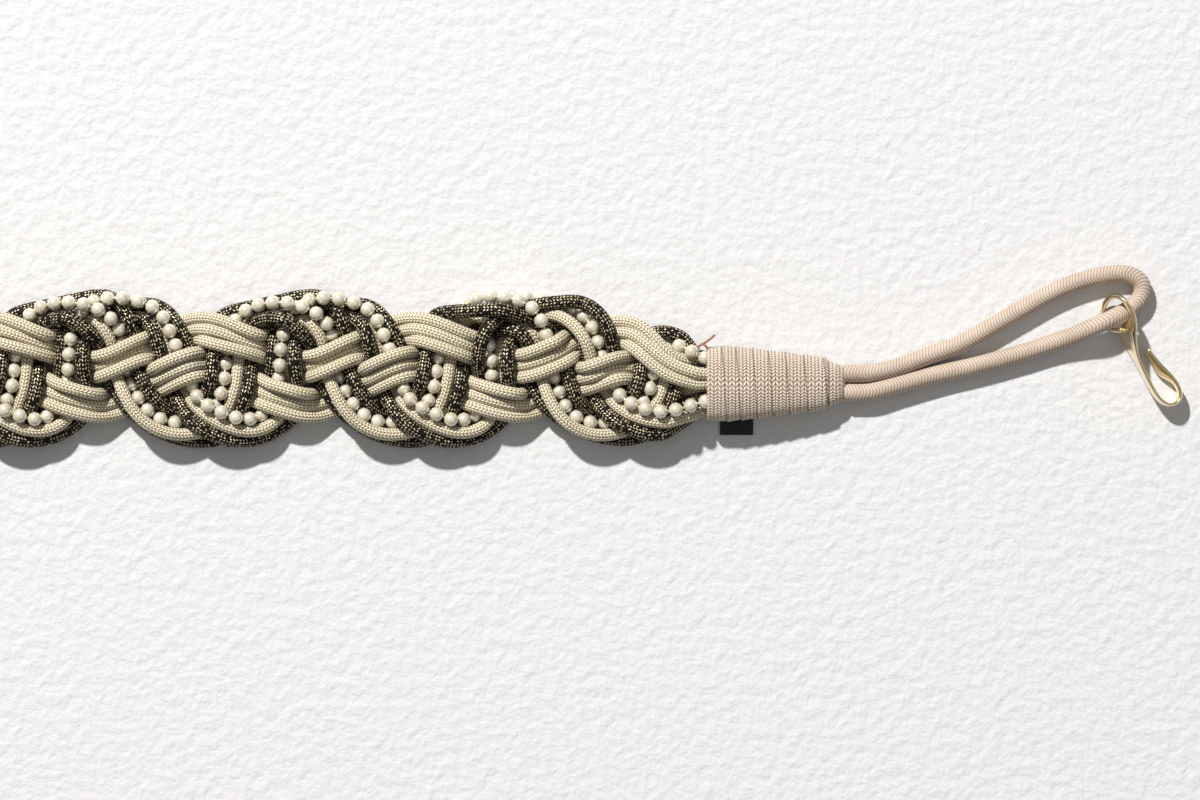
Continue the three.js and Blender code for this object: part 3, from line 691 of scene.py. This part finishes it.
def wrap_tape():
    shader = Shader("wrap_tape", (0.62, 0.50, 0.38), 0.75)
    along, around = shader.uv()
    # Columns side by side along the wrap, each a row of small slanted stitches round it
    column = shader.math("DIVIDE", along, TAPE_COLUMN)
    lean = shader.math("MULTIPLY", shader.math("PINGPONG", column, 1.0), TAPE_STITCH_SLANT)
    phase = shader.math("MULTIPLY_ADD", around, 1 / TAPE_STITCH, lean)
    stitch = shader.humps(phase)
    ridge = shader.math("POWER", shader.humps(column), 0.5)
    height = shader.math("MULTIPLY", shader.math("POWER", stitch, 0.7), ridge)
    cloudy = shader.ramp(shader.noise(90.0), (0.3, (0.78, 0.67, 0.55)), (0.7, (0.87, 0.77, 0.65)))
    spots = shader.math("MULTIPLY", shader.math("GREATER_THAN", shader.noise(420.0), 0.66), 0.35)
    # Between the stitches the cloth darkens to brown by their height: painted shade in the grooves
    cloth = shader.mix(spots, shader.mix(height, (0.24, 0.155, 0.10), cloudy), (0.46, 0.24, 0.16))
    place = shader.node("ShaderNodeAttribute", attribute_name="place").outputs["Fac"]
    # A dark dotted line of painted shade along each turn's edge, where it lies over the turn before
    turn_edge_line = 0.0
    for turn in TAPE_TURNS[1:-1]:
        turn_edge_line = shader.math("MAXIMUM", turn_edge_line, shader.math("COMPARE", place, turn, EDGE_SHADE_WIDTH))
    edge_shade = shader.math("MULTIPLY", turn_edge_line, shader.math("MULTIPLY_ADD", stitch, -0.5, 1.0))
    shader.set("Base Color", shader.mix(edge_shade, cloth, (0.08, 0.045, 0.025)))
    shader.set("Sheen Weight", 0.1)
    shader.bump(height, 0.5 * MM, 0.8)
    return shader.material


def elastic_cord():
    shader = Shader("elastic_cord", (0.62, 0.49, 0.37), 0.7)
    along, turn = shader.uv()
    half_turn = shader.math("FRACT", shader.math("MULTIPLY", turn, 2.0))
    zigzag = shader.math("ABSOLUTE", shader.math("SUBTRACT", half_turn, 0.5))
    phase = shader.math("MULTIPLY_ADD", along, 1 / RIB_PITCH, shader.math("MULTIPLY", zigzag, 2 * RIB_SLANT))
    rib = shader.math("ABSOLUTE", shader.math("SINE", shader.math("MULTIPLY", phase, math.pi)))
    cloudy = shader.ramp(shader.noise(90.0), (0.3, (0.49, 0.40, 0.32)), (0.7, (0.60, 0.505, 0.41)))
    # Painted shade: in the slits between the ribs, which stay open half way between the chevrons' points, and
    # in the grooves between all the ribs
    slit = shader.math("POWER", shader.math("SINE", shader.math("MULTIPLY", zigzag, 2 * math.pi)), 1.2)
    shade = shader.math("MULTIPLY", shader.math("SUBTRACT", 1.0, shader.math("POWER", rib, 0.4)), slit)
    groove_shade = shader.math("MULTIPLY", shader.math("SUBTRACT", 1.0, rib), 0.7)
    dark = shader.math("MAXIMUM", shade, groove_shade)
    shader.set("Base Color", shader.mix(dark, cloudy, (0.15, 0.07, 0.04)))
    shader.set("Sheen Weight", 0.1)
    shader.bump(shader.noise(2500.0), 0.06 * MM, 0.5)
    return shader.material


def gold_hook():
    shader = Shader("gold_hook", (0.94, 0.80, 0.55), 0.14, 1.0)
    shader.set("Roughness", shader.math("MULTIPLY_ADD", shader.noise(300.0), 0.12, 0.08))
    shader.bump(shader.noise(900.0), 0.01 * MM, 0.3)
    return shader.material


def label_cloth():
    shader = Shader("label_cloth", (0.012, 0.012, 0.014), 0.85)
    wave = shader.noise(2600.0)
    shader.set("Base Color", shader.ramp(wave, (0.35, (0.008, 0.008, 0.010)), (0.7, (0.035, 0.035, 0.04))))
    shader.bump(wave, 0.05 * MM, 0.6)
    return shader.material


def copper_thread():
    shader = Shader("copper_thread", (0.36, 0.17, 0.10), 0.5)
    shader.bump(shader.noise(3000.0), 0.1 * MM, 0.8)
    return shader.material


MATERIALS = {make.__name__: make() for make in
             (beige_cord, black_gold_cord, pearl_string, wrap_tape, elastic_cord, gold_hook, label_cloth,
              copper_thread)}


# Camera, floor and light

FLOOR_SIZE = 6
AIM = (0.15, 0, 0)  # of the lights, near the middle of the view
# Name, place, width across, power in watts and colour
LIGHTS = [
    ("key", (-1.39, 2.9, 3.0), 0.24, 324, (1.0, 0.98, 0.96)),
    ("fill", (1.2, -0.6, 1.2), 1.2, 2, (0.95, 0.97, 1.0)),
]
# The sky's strength: from the first height and strength to the second
SKY_RISE = (("From Min", 0.15), ("From Max", 0.6), ("To Min", 0.02), ("To Max", 0.3))
SKY_COLOUR = (1.0, 0.97, 0.93, 1)


def make_camera():
    camera = bpy.data.objects.new("camera", bpy.data.cameras.new("camera"))
    bpy.context.scene.collection.objects.link(camera)
    camera.location = (*VIEW_CENTRE, VIEW_HEIGHT)
    camera.data.sensor_width = SENSOR
    camera.data.lens = SENSOR * VIEW_HEIGHT / VIEW_WIDTH
    camera.data.clip_start = 0.01
    bpy.context.scene.camera = camera


def make_floor():
    bm = bmesh.new()
    bmesh.ops.create_grid(bm, x_segments=1, y_segments=1, size=FLOOR_SIZE)
    floor = bpy.data.objects.new("floor", to_mesh(bm, "floor"))
    bpy.context.scene.collection.objects.link(floor)
    shader = Shader("floor", (0.645, 0.645, 0.65), 0.9)
    shader.bump(shader.noise(260.0, 6.0), 0.9 * MM, 0.85)
    floor.data.materials.append(shader.material)


def add_light(name, place, size, power, colour):
    lamp = bpy.data.lights.new(name, "AREA")
    lamp.shape = "DISK"
    lamp.size = size
    lamp.energy = power
    lamp.color = colour
    light = bpy.data.objects.new(name, lamp)
    bpy.context.scene.collection.objects.link(light)
    light.location = place
    light.rotation_euler = (Vector(AIM) - Vector(place)).to_track_quat("-Z", "Y").to_euler()


def make_light():
    world = bpy.data.worlds.new("studio")
    world.use_nodes = True
    tree = world.node_tree
    background = tree.nodes["Background"]
    background.inputs[0].default_value = SKY_COLOUR
    # Brighter overhead than near the horizon
    split = tree.nodes.new("ShaderNodeSeparateXYZ")
    tree.links.new(tree.nodes.new("ShaderNodeTexCoord").outputs["Generated"], split.inputs[0])
    rise = tree.nodes.new("ShaderNodeMapRange")
    tree.links.new(split.outputs[2], rise.inputs["Value"])
    for socket, value in SKY_RISE:
        rise.inputs[socket].default_value = value
    tree.links.new(rise.outputs["Result"], background.inputs[1])
    bpy.context.scene.world = world
    for light in LIGHTS:
        add_light(*light)
    bpy.context.scene.view_settings.view_transform = "Standard"


def make_braid():
    radii = [radius_of(name) for name in CORDS]
    lines = settle([through(node_line(name), STEP) for name in CORDS], radii)
    for name, line in zip(CORDS, lines):
        make = make_pearl_string if "pearls" in name else make_cord
        make(name, into_wraps(line))


make_camera()
make_loop("right_loop", "right_wrap", RIGHT_LOOP, [make_hook()])
make_loop("left_loop", "left_wrap", LEFT_LOOP)
make_braid()
make_wrap("right_wrap")
make_wrap("left_wrap")
make_loose_thread()
make_label()
make_floor()
make_light()

bpy.context.view_layer.update()
